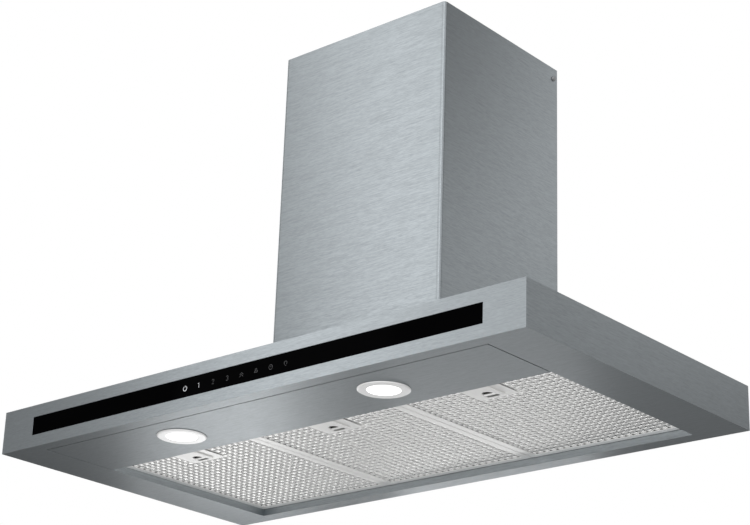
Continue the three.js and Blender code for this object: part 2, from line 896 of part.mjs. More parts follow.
function impeller() {
  const inner = wheelRadius - bladeDepth;
  const bore = shaftRadius + fit;
  const disc = turnedX([
    [bore, -wheelDisc / 2],
    [wheelRadius, -wheelDisc / 2],
    [wheelRadius, wheelDisc / 2],
    [hubRadius, wheelDisc / 2],
    [hubRadius, hubLength / 2],
    [bore, hubLength / 2],
    [bore, -wheelDisc / 2],
  ], 0, 0, 30);
  const ring = (side) => {
    const outer = side * wheelHalfWidth;
    const innerFace = side * (wheelHalfWidth - wheelRing);
    const [a, b] = side > 0 ? [innerFace, outer] : [outer, innerFace];
    return turnedX(ringProfile(inner + 1, wheelRadius + 1, a, b), 0, 0, 30);
  };
  let wheel = joinPair(disc, ring);
  const lean = THREE.MathUtils.degToRad(10);
  for (let i = 0; i < bladeCount; i += 1) {
    const angle = (2 * Math.PI * i) / bladeCount;
    const section = [
      [inner, -bladeThickness / 2, 0],
      [wheelRadius - 0.5, -bladeThickness / 2, lean],
      [wheelRadius - 0.5, bladeThickness / 2, lean],
      [inner, bladeThickness / 2, 0],
    ].map(([radius, across, turn]) => {
      const at = angle + turn;
      return [
        radius * Math.cos(at) - across * Math.sin(at),
        radius * Math.sin(at) + across * Math.cos(at),
      ];
    });
    const blade = prismX(outline(section), -wheelHalfWidth + 0.5, wheelHalfWidth - 0.5);
    wheel = wheel.add(blade);
  }
  return wheel.translate([0, wheelY, wheelZ]);
}

function motorShaft() {
  return rodX(shaftRadius, -motorFace - shaftSunk, shaftOut, wheelY, wheelZ, 16);
}

function motorBody() {
  const bore = shaftRadius + fit;
  const sunk = -motorFace - shaftSunk - fit;
  const rear = -scrollHalfWidth;
  return turnedX([
    [0, rear],
    [motorRadius - motorBevel, rear],
    [motorRadius, rear + motorBevel],
    [motorRadius, -motorFace - motorBevel],
    [motorRadius - motorBevel, -motorFace],
    [bore, -motorFace],
    [bore, sunk],
    [0, sunk],
  ], wheelY, wheelZ, 24);
}

function motorBracket() {
  const outer = -scrollHalfWidth - fit - bracketThickness;
  const inner = -scrollHalfWidth - fit;
  const ringRadius = inletRadius + bracketRing;
  let bracket = turnedX(ringProfile(inletRadius + 1, ringRadius, outer, inner), 0, 0, 32);
  bracket = bracket.add(rodX(bracketHub, outer, inner, 0, 0, 24));
  for (let i = 0; i < 3; i += 1) {
    const arm = block(
      outer, inner, -bracketArm / 2, bracketArm / 2, bracketHub - 2, inletRadius + bracketRing / 2,
    );
    bracket = bracket.add(arm.rotate([120 * i + 60, 0, 0]));
  }
  return bracket.translate([0, wheelY, wheelZ]);
}

// ---------------------------------------------------------------- outlet collar and flaps

function outletCollar() {
  const inner = collarRadius - collarWall;
  const ledge = collarBottom + ledgeHeight;
  let collar = turnedZ([
    [inner, collarBottom],
    [collarRadius + collarFlange, collarBottom],
    [collarRadius + collarFlange, collarBottom + collarWall],
    [collarRadius, collarBottom + collarWall],
    [collarRadius, collarBottom + collarHeight],
    [inner, collarBottom + collarHeight],
    [inner, ledge + ledgeThickness],
    [inner - ledgeWidth, ledge + ledgeThickness],
    [inner - ledgeWidth, ledge],
    [inner, ledge],
    [inner, collarBottom],
  ], 32).translate([0, collarY, 0]);
  const reach = collarRadius + past;
  for (const side of [-1, 1]) {
    const y = collarY + side * flapAxisOffset;
    collar = collar.subtract(rodX(flapPin + fit, -reach, reach, y, flapAxisZ));
  }
  return collar;
}

/** A half-round flap with its barrel and pins; side is -1 for the front one and 1 for the rear one. */
function damperFlap(side) {
  const chord = flapAxisOffset;
  const start = Math.asin(chord / flapRadius);
  const shape = new THREE.Shape();
  shape.absarc(0, 0, flapRadius, start, Math.PI - start);
  const plate = prismZ(shape, flapBottom, flapBottom + flapThickness, 12);
  const turned = side > 0 ? plate : plate.rotate([0, 0, 180]);
  const y = side * flapAxisOffset;
  const barrelHalf = Math.sqrt(flapRadius ** 2 - (chord + flapBarrel) ** 2) - 1;
  const flap = turned
    .add(rodX(flapBarrel, -barrelHalf, barrelHalf, y, flapAxisZ))
    .add(rodX(flapPin, -collarRadius, collarRadius, y, flapAxisZ, 8));
  return flap.translate([0, collarY, 0]);
}

// ---------------------------------------------------------------- electrics

function capacitor() {
  const y = -boxRear - boxSheet - fit - capacitorRadius;
  const z = boxBottom + capacitorLift;
  const can = rodZ(capacitorRadius, capacitorX, y, z, z + capacitorHeight, 20);
  return can.add(block(
    capacitorX - 4, capacitorX + 4, y - 3, y + 3, z + capacitorHeight - 1, z + capacitorHeight + 7,
  ));
}

const caseTop = zTop - canopySheet - fit;
const caseBottom = caseTop - caseHeight;

function electronicsBox() {
  const half = caseWidth / 2;
  const y0 = -caseFromWall - caseDepth / 2;
  const y1 = -caseFromWall + caseDepth / 2;
  let tray = block(caseX - half, caseX + half, y0, y1, caseBottom, caseTop);
  tray = tray.subtract(block(
    caseX - half + caseWall, caseX + half - caseWall,
    y0 + caseWall, y1 - caseWall,
    caseBottom - past, caseTop - caseWall,
  ));
  for (const sx of [-1, 1]) {
    for (const sy of [-1, 1]) {
      const x = caseX + sx * (half - caseWall - caseBoss / 2);
      const y = -caseFromWall + sy * (caseDepth / 2 - caseWall - caseBoss / 2);
      tray = tray.add(block(
        x - caseBoss / 2 - past, x + caseBoss / 2 + past,
        y - caseBoss / 2 - past, y + caseBoss / 2 + past,
        caseTop - caseWall - caseBossHeight, caseTop - caseWall / 2,
      ));
    }
  }
  return tray;
}

function electronicsCover() {
  const half = caseWidth / 2;
  const y0 = -caseFromWall - caseDepth / 2;
  const y1 = -caseFromWall + caseDepth / 2;
  const inset = caseWall + fit;
  const top = caseBottom - fit;
  const lid = block(caseX - half, caseX + half, y0, y1, top - caseLid, top);
  const rim = block(
    caseX - half + inset, caseX + half - inset, y0 + inset, y1 - inset, top - 1, top + 3,
  );
  return lid.add(rim).subtract(block(
    caseX - half + 2 * inset, caseX + half - 2 * inset,
    y0 + 2 * inset, y1 - 2 * inset,
    top, top + 4,
  ));
}

function powerBoard() {
  const inset = caseWall + fit;
  const half = caseWidth / 2 - inset;
  const depth = caseDepth / 2 - inset;
  const top = caseTop - caseWall - caseBossHeight - fit;
  const board = block(
    caseX - half, caseX + half, -caseFromWall - depth, -caseFromWall + depth,
    top - boardThickness, top,
  );
  const onBoard = (x, y, width, height) => block(
    caseX + x - width / 2, caseX + x + width / 2,
    -caseFromWall + y - width / 2, -caseFromWall + y + width / 2,
    top - boardThickness - height, top - boardThickness / 2,
  );
  return board
    .add(onBoard(transformerX, 0, transformerWidth, transformerHeight))
    .add(onBoard(relayX, relayY, relayWidth, relayHeight));
}

function cableGland() {
  const seat = boxTop + fit;
  return turnedZ([
    [glandBore, seat - glandNeck],
    [glandRadius, seat - glandNeck],
    [glandRadius, seat],
    [glandFlangeRadius, seat],
    [glandFlangeRadius, seat + 4],
    [glandRadius + 1, seat + 4],
    [glandRadius + 1, seat + glandHeight - 4],
    [glandRadius - 2, seat + glandHeight],
    [glandBore, seat + glandHeight],
    [glandBore, seat - glandNeck],
  ], 16).translate([glandX, -glandFromWall, 0]);
}

/** From the touch board's plug, up under the canopy's top, to the front of the electronics case. */
function controlCable() {
  const start = boardFace + boardThickness + plugDepth + fit;
  const end = -caseFromWall - caseDepth / 2 - fit;
  const high = zTop - canopySheet - fit - cableRadius - 1;
  const level = caseBottom + caseHeight / 2;
  return cable([
    [plugOffset, start, 0],
    [plugOffset, start + 8, 0],
    [plugOffset - 8, start + 20, high - 10],
    [plugOffset - 34, start + 34, high - 1],
    [plugOffset - 80, start + 52, high - 1],
    [caseX + 20, end - 24, level + 4],
    [caseX + 16, end - 8, level],
    [caseX + 16, end, level],
  ], 24);
}

/** From the electronics case through the canopy's opening to the motor. */
function motorCable() {
  const start = caseX + caseWidth / 2 + fit;
  const level = caseBottom + caseHeight / 2;
  const plate = -scrollHalfWidth - 2 * fit - bracketThickness;
  const lane = (plate - boxHalfWidth) / 2;
  return cable([
    [start, -caseFromWall + 10, level],
    [start + 8, -caseFromWall + 10, level],
    [start + 50, -caseFromWall + 24, level - 3],
    [lane - 12, -wheelFromWall - 96, level],
    [lane, -wheelFromWall - 80, zTop + 8],
    [lane, -wheelFromWall - 50, zTop + 40],
    [lane, -wheelFromWall - 16, wheelZ - 22],
    [plate - 14, -wheelFromWall, wheelZ - 1],
    [plate - 5, -wheelFromWall, wheelZ],
    [plate, -wheelFromWall, wheelZ],
  ], 34);
}

// ---------------------------------------------------------------- chimney

/** A U of sheet seen from above: two sides, a front with round corners, and returns at the wall. */
function coverShape(half, front, rear, corner) {
  const s = chimneySheet;
  const inside = half - s;
  const shape = new THREE.Shape();
  shape.moveTo(-half + chimneyReturn, rear);
  shape.lineTo(-half, rear);
  shape.lineTo(-half, front + corner);
  shape.absarc(-half + corner, front + corner, corner, Math.PI, 1.5 * Math.PI);
  shape.lineTo(half - corner, front);
  shape.absarc(half - corner, front + corner, corner, 1.5 * Math.PI, 2 * Math.PI);
  shape.lineTo(half, rear);
  shape.lineTo(half - chimneyReturn, rear);
  shape.lineTo(half - chimneyReturn, rear - s);
  shape.lineTo(inside, rear - s);
  shape.lineTo(inside, front + corner);
  shape.absarc(half - corner, front + corner, corner - s, 0, -Math.PI / 2, true);
  shape.lineTo(-half + corner, front + s);
  shape.absarc(-half + corner, front + corner, corner - s, -Math.PI / 2, -Math.PI, true);
  shape.lineTo(-inside, rear - s);
  shape.lineTo(-half + chimneyReturn, rear - s);
  return shape;
}

function chimneyLower() {
  let cover = prismZ(
    coverShape(chimneyHalf, -chimneyDepth, 0, chimneyCorner), chimneyBottom, chimneyTop, 6,
  );
  const notch = bracketZ - bracketHeight / 2 - past;
  cover = cover.subtract(block(
    -chimneyHalf + chimneySheet, chimneyHalf - chimneySheet,
    -bracketEar, past, notch, chimneyTop + past,
  ));
  const reach = chimneyHalf + past;
  return cover.subtract(
    rodX(screwHoleRadius, -reach, reach, -chimneyScrewInset, bracketZ),
  );
}

function chimneyUpper() {
  const rear = -bracketSheet - chimneyPlay;
  const shape = coverShape(upperHalf, upperFront, rear, chimneyCorner - chimneySheet);
  const inside = upperHalf - chimneySheet;
  return prismZ(shape, chimneyBottom, chimneyTop, 6).subtract(block(
    -inside, inside, -bracketEar, past, chimneyTop - ceilingStrip - past, chimneyTop + past,
  ));
}

/** A strip on the wall whose two ears hold the upper cover's sides from inside. */
function ceilingBracket() {
  const half = upperHalf - chimneySheet - fit;
  const low = chimneyTop - ceilingStrip;
  const bracket = block(-half, half, -bracketSheet, 0, low, chimneyTop);
  return joinPair(bracket, (side) => (
    sideBlock(side, half - bracketSheet, half, -bracketEar, 0, low, chimneyTop)
  ));
}

function chimneyBracket() {
  const low = bracketZ - bracketHeight / 2;
  const high = bracketZ + bracketHeight / 2;
  const plate = block(-bracketHalf, bracketHalf, -bracketSheet, 0, low, high);
  const bracket = joinPair(plate, (side) => (
    sideBlock(side, bracketHalf - bracketSheet, bracketHalf, -bracketEar, 0, low, high)
  ));
  const reach = bracketHalf + past;
  return bracket.subtract(
    rodX(screwHoleRadius, -reach, reach, -chimneyScrewInset, bracketZ),
  );
}

function chimneyScrew(side) {
  const seat = chimneyHalf + fit;
  const tip = bracketHalf - bracketSheet;
  const screw = turnedX([
    [0, tip],
    [screwRadius, tip],
    [screwRadius, seat],
    [screwHeadRadius, seat],
    [screwHeadRadius - 0.8, seat + screwHeadHeight],
    [0, seat + screwHeadHeight],
  ], 0, 0, 16);
  const turned = side > 0 ? screw : screw.rotate([0, 0, 180]);
  return turned.translate([0, -chimneyScrewInset, bracketZ]);
}

// ---------------------------------------------------------------- the assembly

function piece(name, shape, material) {
  const { numProp, vertProperties, triVerts } = shape.getMesh();
  const geometry = new THREE.BufferGeometry();
  geometry.setAttribute("position", new THREE.BufferAttribute(vertProperties, numProp));
  geometry.setIndex(new THREE.BufferAttribute(triVerts, 1));
  const mesh = new THREE.Mesh(geometry, material);
  mesh.name = name;
  return mesh;
}

function canopy() {
  const group = new THREE.Group();
  group.add(
    piece("canopy_shell", canopyShell(), steel()),
    piece("back_panel", backPanel(), galvanised()),
    piece("lamp_panel", lampPanel(), steel()),
    piece("wall_rail", wallRail(), galvanised()),
    piece("control_glass", controlGlass(), blackGlass()),
    piece("control_carrier", controlCarrier(), blackPlastic()),
    piece("control_board", controlBoard(), circuitBoard()),
  );
  return group;
}

function lamp(name, x) {
  const group = new THREE.Group();
  group.position.set(x, lampY, zUnder);
  group.add(
    piece(`lamp_bezel_${name}`, lampBezel(), chrome()),
    piece(`lamp_lens_${name}`, lampLens(), frostedGlass()),
    piece(`lamp_body_${name}`, lampBody(), castMetal()),
    piece(`lamp_clip_${name}`, lampClip(), springSteel()),
  );
  return group;
}

function filter(name, index) {
  const group = new THREE.Group();
  const x = (index - (filterCount - 1) / 2) * filterPitch;
  group.position.set(x, filterFront, faceZ);
  group.add(
    piece(`filter_frame_${name}`, filterFrame(), aluminium()),
    piece(`filter_mesh_${name}`, filterNet(), aluminiumNet()),
    piece(`filter_media_${name}`, filterMedia(), aluminiumNet()),
    piece(`filter_handle_${name}`, filterHandle(), aluminium()),
    piece(`latch_grip_${name}`, latchGrip(), aluminium()),
    piece(`latch_spring_${name}`, latchSpring(), springSteel()),
  );
  return group;
}

function blower() {
  const group = new THREE.Group();
  group.add(
    piece("blower_box", blowerBox(), galvanised()),
    piece("scroll_left", scrollHalf(-1), blackPlastic()),
    piece("scroll_right", scrollHalf(1), blackPlastic()),
    piece("impeller", impeller(), greyPlastic()),
    piece("motor_shaft", motorShaft(), chrome()),
    piece("motor_body", motorBody(), castMetal()),
    piece("motor_bracket", motorBracket(), innerSteel()),
    piece("outlet_collar", outletCollar(), blackPlastic()),
    piece("damper_flap_front", damperFlap(-1), greyPlastic()),
    piece("damper_flap_rear", damperFlap(1), greyPlastic()),
  );
  blowerScrewPlaces().forEach(([x, y], i) => {
    const screw = piece(`blower_screw_${i + 1}`, uprightScrew(), chrome());
    screw.position.set(x, y, boxBottom + boxSheet + fit);
    group.add(screw);
  });
  return group;
}

function electrics() {
  const group = new THREE.Group();
  group.add(
    piece("capacitor", capacitor(), greyPlastic()),
    piece("electronics_box", electronicsBox(), greyPlastic()),
    piece("electronics_cover", electronicsCover(), greyPlastic()),
    piece("power_board", powerBoard(), circuitBoard()),
    piece("cable_gland", cableGland(), blackPlastic()),
    piece("control_cable", controlCable(), cableSheath()),
    piece("motor_cable", motorCable(), cableSheath()),
  );
  return group;
}

function chimney() {
  const group = new THREE.Group();
  group.add(
    piece("chimney_lower", chimneyLower(), steel()),
    piece("chimney_upper", chimneyUpper(), steel()),
    piece("chimney_bracket", chimneyBracket(), galvanised()),
    piece("ceiling_bracket", ceilingBracket(), galvanised()),
    piece("chimney_screw_left", chimneyScrew(-1), chrome()),
    piece("chimney_screw_right", chimneyScrew(1), chrome()),
  );
  return group;
}

const hood = new THREE.Group();
hood.add(canopy(), blower(), electrics(), chimney());
for (const [name, x] of lampPlaces()) hood.add(lamp(name, x));
filterNames().forEach((name, index) => hood.add(filter(name, index)));

export default hood;
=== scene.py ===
"""The looks of a wall-mounted chimney range hood: satin stainless steel, three aluminium grease filters,
two lamps and a black glass touch strip. Everything is in metres, +Z up, with the wall at y = 0."""

import math

import bmesh
import bpy
from mathutils import Euler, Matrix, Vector


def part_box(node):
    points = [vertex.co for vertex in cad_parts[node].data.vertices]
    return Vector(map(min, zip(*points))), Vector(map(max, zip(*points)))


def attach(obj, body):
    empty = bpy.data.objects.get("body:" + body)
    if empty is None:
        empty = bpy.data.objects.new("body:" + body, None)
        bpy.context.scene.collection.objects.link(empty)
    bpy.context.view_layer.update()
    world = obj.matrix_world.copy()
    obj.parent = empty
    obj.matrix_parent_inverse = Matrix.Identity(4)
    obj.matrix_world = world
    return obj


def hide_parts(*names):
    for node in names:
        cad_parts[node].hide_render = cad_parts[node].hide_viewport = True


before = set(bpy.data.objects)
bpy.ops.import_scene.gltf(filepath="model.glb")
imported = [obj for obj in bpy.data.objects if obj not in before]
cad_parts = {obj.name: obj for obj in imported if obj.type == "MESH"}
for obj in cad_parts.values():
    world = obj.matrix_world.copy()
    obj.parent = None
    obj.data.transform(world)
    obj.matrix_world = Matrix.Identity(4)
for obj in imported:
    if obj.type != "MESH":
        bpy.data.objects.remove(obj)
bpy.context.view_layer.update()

MM = 0.001
SIDES = ("left", "middle", "right")

# the camera, at the photograph's viewing angle
CAMERA_PLACE = (1.6734, -2.1344, -0.7710)
CAMERA_TURN = (111.597, -1.835, 40.482)  # degrees about X, Y and Z
CAMERA_LENS = 94.58  # in millimetres, as the sensor's width is
SENSOR_WIDTH = 36
VIEW_START = 0.05
VIEW_END = 150

# the grease filters, with levels above their lower face
FILTER_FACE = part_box("filter_frame_middle")[0].z
FILTER_RIM = 10.5 * MM
FRAME_SHEET = 0.8 * MM
FRAME_PLAY = 0.3 * MM  # between the frame's walls and the nets
TAB_REACH = 6 * MM + 1.2 * MM  # of the frame's tabs past its rear edge
HOLLOW_LEVEL = 0.1 * MM  # where painted shade begins to darken a handle's hollows
HOLLOW_DEPTH = 1.4 * MM  # and the height over which that painted shade deepens
# the same painted shade in the latch grips' hollows starts below the filter's face and deepens over this
# height
GRIP_LEVEL = -1.9 * MM
GRIP_DEPTH = 0.9 * MM

# the drawn nets
NET_PITCH = 11 * MM  # one cell, both ways
NET_LEVEL = 1.95 * MM  # of the sheet between the pillows
NET_SHEET = 0.35 * MM
CELL_FACES = 6  # along each side of a cell
SLOT_HALF = 0.165  # half a slot's width at its corner, in cells
SLOT_ARM = 0.75  # the length of a slot's arm, in cells
PILLOW_HEIGHT = 0.8 * MM  # how far the middle of a cell swells down
PILLOW_FULLNESS = 0.8  # the lower, the flatter a pillow's middle
LIP_HEIGHT = 0.45 * MM  # how far the metal is drawn down beside a slot
NET_MERGE = 0.02 * MM
PAD_HALF = 30 * MM  # the flat place at the handle
PAD_LENGTH = 66 * MM
CUP_HALF = 14.1 * MM  # the notch round the latch's cup
CUP_LENGTH = 58.1 * MM

# the inner nets
PLEATS = 12
PLEAT_LOW = 2.8 * MM
PLEAT_HIGH = 7.4 * MM
PLEAT_FACES = 8  # across one pleat
PLEAT_ROWS = 80  # along the filter
PLEAT_SWING = 0.85  # of the height between low and high
DENTS = ((0.12, 23, 5), (0.08, 61, 31))  # size, and turns along and across, in radians

# the symbols of the touch strip
SYMBOL_SIZE = 6.2 * MM
SYMBOL_LINE = 0.24 * MM  # half the width of a line
SYMBOL_ROUNDNESS = 2
SYMBOL_FLATNESS = 0.15
SYMBOL_GAP = 0.02 * MM  # in front of the glass
SYMBOL_LEVEL = -1 * MM
SYMBOL_START = -91.3 * MM
SYMBOL_STEP = 25.1 * MM
SYMBOLS = 8

# the steel's grain and the haze on the glass, in marks per metre across and along them
SHORT_STREAKS = (950, 120)
LONG_STREAKS = (900, 30)
SLOW_BANDS = (260, 4)
WIPING = (60, 9)
STREAK_SHARE = 0.9  # of the streaks; the rest are the bands
STREAK_RANGE = (0.33, 0.61)  # of the marks, from dark to light
STEEL_ANISOTROPY = 0.7

# the other finishes
SLOW_MOTTLING = 14  # how many times larger than the fine mottling
# the dark colour of the painted shade in the hollows of the handles and grips
PAINTED_SHADE = (0.05, 0.048, 0.045, 1)
LENS_GLOW = 1.3
SYMBOL_GLOW = 0.7
FACE_TURN = 0.72  # a face looks along an axis from this share of its normal on
FACE_UP = 0.3  # a face looks up from this share on

# the solids' edges
WELD_REACH = 1e-6
CUT_REACH = 1e-7
FLAT_ANGLE = math.radians(0.5)
SMOOTH_ANGLE = math.radians(35)
EDGE_ANGLE = math.radians(40)
EDGE_SEGMENTS = 2


# ---------------------------------------------------------------- materials
def new_material(name):
    """An empty node material, its tree and its shader."""
    material = bpy.data.materials.new(name)
    material.use_nodes = True
    tree = material.node_tree
    tree.nodes.clear()
    end = tree.nodes.new("ShaderNodeOutputMaterial")
    shader = tree.nodes.new("ShaderNodeBsdfPrincipled")
    tree.links.new(shader.outputs["BSDF"], end.inputs["Surface"])
    return material, tree, shader


def put(tree, kind, inputs=(), **settings):
    """A node with its settings made and its inputs given as numbers or as other nodes' outputs."""
    node = tree.nodes.new(kind)
    for key, value in settings.items():
        setattr(node, key, value)
    for key, value in dict(inputs).items():
        if isinstance(value, bpy.types.NodeSocket):
            tree.links.new(value, node.inputs[key])
        else:
            node.inputs[key].default_value = value
    return node


def math_node(tree, operation, a, b=0.0):
    """The outcome of an operation on two numbers or outputs."""
    return put(tree, "ShaderNodeMath", {0: a, 1: b}, operation=operation).outputs[0]


def blend_value(tree, share, low, high):
    """low where share is 0, high where it is 1."""
    node = put(tree, "ShaderNodeMapRange", {"Value": share, "To Min": low, "To Max": high})
    return node.outputs["Result"]


def between(tree, value, start, end):
    """0 where the value is at the start, 1 where it is at the end."""
    node = put(tree, "ShaderNodeMapRange", {"Value": value, "From Min": start, "From Max": end})
    return node.outputs["Result"]


def blend_colour(tree, share, low, high):
    """The low colour where share is 0, the high one where it is 1."""
    node = put(
        tree, "ShaderNodeMix", {0: share, 6: (*low, 1), 7: (*high, 1)}, data_type="RGBA"
    )
    return node.outputs[2]


def noise(tree, vector, scale, detail=3.0, roughness=0.55):
    """A cloudy texture with scale marks per unit of the vector."""
    inputs = {"Vector": vector, "Scale": scale, "Detail": detail, "Roughness": roughness}
    return put(tree, "ShaderNodeTexNoise", inputs).outputs["Fac"]


def place(tree):
    """The place on the object, in metres."""
    return put(tree, "ShaderNodeTexCoord").outputs["Object"]


def mixed(tree, first, second, part):
    """The first texture by its part, and the second by the rest."""
    return math_node(
        tree, "ADD", math_node(tree, "MULTIPLY", first, part),
        math_node(tree, "MULTIPLY", second, 1 - part),
    )


def parts_of(tree, vector):
    """A vector's X, Y and Z."""
    return put(tree, "ShaderNodeSeparateXYZ", {0: vector}).outputs


def looks_along(tree, share):
    """1 where a face looks along the axis that the share of its normal is for, else 0."""
    return math_node(tree, "GREATER_THAN", math_node(tree, "ABSOLUTE", share), FACE_TURN)


def bump(tree, shader, height, strength, distance):
    """Fine relief, whose hills are as high as the distance says."""
    inputs = {"Height": height, "Strength": strength, "Distance": distance}
    tree.links.new(put(tree, "ShaderNodeBump", inputs).outputs["Normal"], shader.inputs["Normal"])


def grain_place(tree, across, along):
    """The place on the surface, drawn out along X, and along Y on faces that look along X."""
    coordinates = put(tree, "ShaderNodeTexCoord")
    at = parts_of(tree, coordinates.outputs["Object"])
    facing = parts_of(tree, coordinates.outputs["Normal"])
    sideways = looks_along(tree, facing["X"])

    def drawn(x_scale, y_scale):
        parts = {
            0: math_node(tree, "MULTIPLY", at["X"], x_scale),
            1: math_node(tree, "MULTIPLY", at["Y"], y_scale),
            2: math_node(tree, "MULTIPLY", at["Z"], across),
        }
        return put(tree, "ShaderNodeCombineXYZ", parts).outputs[0]

    mix = put(
        tree, "ShaderNodeMix",
        {0: sideways, 4: drawn(along, across), 5: drawn(across, along)}, data_type="VECTOR",
    )
    return mix.outputs[1]


def across_grain(tree):
    """The direction in the surface square to the grain: upright, or along Y on level faces."""
    facing = parts_of(tree, put(tree, "ShaderNodeTexCoord").outputs["Normal"])
    level = looks_along(tree, facing["Z"])
    upright = math_node(tree, "SUBTRACT", 1.0, level)
    return put(tree, "ShaderNodeCombineXYZ", {1: level, 2: upright}).outputs[0]


def brushed_steel(name, dark, light, smooth, rough, relief=0.05):
    """Steel sheet with a fine grain: thin streaks over slower bands."""
    material, tree, shader = new_material(name)
    tree.links.new(across_grain(tree), shader.inputs["Tangent"])
    shader.inputs["Anisotropic"].default_value = STEEL_ANISOTROPY
    short = noise(tree, grain_place(tree, *SHORT_STREAKS), scale=1, detail=2, roughness=0.6)
    long = noise(tree, grain_place(tree, *LONG_STREAKS), scale=1, detail=2, roughness=0.6)
    bands = noise(tree, grain_place(tree, *SLOW_BANDS), scale=1, detail=2)
    streaks = mixed(tree, short, long, 0.5)
    marks = mixed(tree, streaks, bands, STREAK_SHARE)
    share = between(tree, marks, *STREAK_RANGE)
    tree.links.new(blend_colour(tree, share, dark, light), shader.inputs["Base Color"])
    tree.links.new(blend_value(tree, share, rough, smooth), shader.inputs["Roughness"])
    shader.inputs["Metallic"].default_value = 1
    bump(tree, shader, streaks, relief, 0.2 * MM)
    return material


def plain_metal(name, dark, light, smooth, rough, scale, relief, metallic=1.0):
    """Metal with a fine even mottling over a slower one, the fine one at the given scale."""
    material, tree, shader = new_material(name)
    fine = noise(tree, place(tree), scale, detail=4)
    slow = noise(tree, place(tree), scale / SLOW_MOTTLING, detail=2)
    share = mixed(tree, fine, slow, 0.5)
    tree.links.new(blend_colour(tree, share, dark, light), shader.inputs["Base Color"])
    tree.links.new(blend_value(tree, share, smooth, rough), shader.inputs["Roughness"])
    shader.inputs["Metallic"].default_value = metallic
    bump(tree, shader, fine, relief, 0.4 * MM)
    return material


def aluminium_with_painted_shade(name, start, deep):
    """Satin aluminium with painted shade in hollows that open downwards: above a height, faces that
    don't look up are darkened towards a dark colour.
    """
    material, tree, shader = new_material(name)
    at = place(tree)
    fine = noise(tree, at, scale=420, detail=4)
    slow = noise(tree, at, scale=30, detail=2)
    share = mixed(tree, fine, slow, 0.5)
    metal = blend_colour(tree, share, (0.83, 0.83, 0.82), (0.93, 0.93, 0.92))
    above = between(tree, parts_of(tree, at)["Z"], start, start + deep)
    facing = parts_of(tree, put(tree, "ShaderNodeTexCoord").outputs["Normal"])
    open_below = math_node(tree, "LESS_THAN", facing["Z"], FACE_UP)
    # painted shade: faces above the height that look down or sideways take the dark colour
    painted_shade_mask = math_node(tree, "MULTIPLY", above, open_below)
    colours = {0: painted_shade_mask, 6: metal, 7: PAINTED_SHADE}
    colour = put(tree, "ShaderNodeMix", colours, data_type="RGBA").outputs[2]
    tree.links.new(colour, shader.inputs["Base Color"])
    tree.links.new(blend_value(tree, share, 0.34, 0.46), shader.inputs["Roughness"])
    shader.inputs["Metallic"].default_value = 0.8
    bump(tree, shader, fine, 0.06, 0.4 * MM)
    return material


def galvanised_sheet(name):
    """Zinc-coated sheet, with its crystals."""
    material, tree, shader = new_material(name)
    cells = put(tree, "ShaderNodeTexVoronoi", {"Vector": place(tree), "Scale": 95})
    shade = put(tree, "ShaderNodeSeparateColor", {0: cells.outputs["Color"]}).outputs[0]
    fine = noise(tree, place(tree), scale=700)
    share = mixed(tree, shade, fine, 0.75)
    colour = blend_colour(tree, share, (0.38, 0.40, 0.42), (0.56, 0.58, 0.60))
    tree.links.new(colour, shader.inputs["Base Color"])
    tree.links.new(blend_value(tree, share, 0.38, 0.56), shader.inputs["Roughness"])
    shader.inputs["Metallic"].default_value = 1
    bump(tree, shader, fine, 0.08, 0.3 * MM)
    return material


def moulded_plastic(name, dark, light, rough=0.5):
    """Plastic with a fine spark-eroded grain."""
    material, tree, shader = new_material(name)
    grain = noise(tree, place(tree), scale=1400, detail=2)
    slow = noise(tree, place(tree), scale=30, detail=2)
    share = mixed(tree, grain, slow, 0.4)
    tree.links.new(blend_colour(tree, share, dark, light), shader.inputs["Base Color"])
    tree.links.new(blend_value(tree, grain, rough - 0.08, rough + 0.12), shader.inputs["Roughness"])
    bump(tree, shader, grain, 0.12, 0.3 * MM)
    return material


def black_glass(name):
    """Polished glass, painted black behind, with the faint haze of wiping."""
    material, tree, shader = new_material(name)
    haze = noise(tree, grain_place(tree, *WIPING), scale=1)
    colour = blend_colour(tree, haze, (0.0006, 0.0006, 0.0007), (0.0014, 0.0014, 0.0016))
    tree.links.new(colour, shader.inputs["Base Color"])
    tree.links.new(blend_value(tree, haze, 0.035, 0.075), shader.inputs["Roughness"])
    shader.inputs["IOR"].default_value = 1.45
    shader.inputs["Specular IOR Level"].default_value = 0.004
    return material


def lamp_glass(name):
    """Frosted glass, lit from behind by a disc of diodes."""
    material, tree, shader = new_material(name)
    frost = noise(tree, place(tree), scale=900, detail=2)
    colour = blend_colour(tree, frost, (0.86, 0.86, 0.83), (0.94, 0.94, 0.92))
    tree.links.new(colour, shader.inputs["Base Color"])
    tree.links.new(blend_value(tree, frost, 0.28, 0.42), shader.inputs["Roughness"])
    shader.inputs["Emission Color"].default_value = (1, 1, 1, 1)
    shader.inputs["Emission Strength"].default_value = LENS_GLOW
    bump(tree, shader, frost, 0.15, 0.2 * MM)
    return material


def board_lacquer(name):
    """Green lacquer over copper tracks."""
    material, tree, shader = new_material(name)
    at = place(tree)
    tracks = put(
        tree, "ShaderNodeTexBrick",
        {"Vector": at, "Scale": 260, "Mortar Size": 0.06, "Color1": (0, 0, 0, 1),
         "Color2": (0, 0, 0, 1), "Mortar": (1, 1, 1, 1)},
    ).outputs["Color"]
    speck = noise(tree, at, scale=500)
    line = mixed(tree, tracks, speck, 0.7)
    colour = blend_colour(tree, line, (0.010, 0.075, 0.028), (0.05, 0.20, 0.08))
    tree.links.new(colour, shader.inputs["Base Color"])
    tree.links.new(blend_value(tree, speck, 0.3, 0.45), shader.inputs["Roughness"])
    bump(tree, shader, tracks, 0.2, 0.2 * MM)
    return material


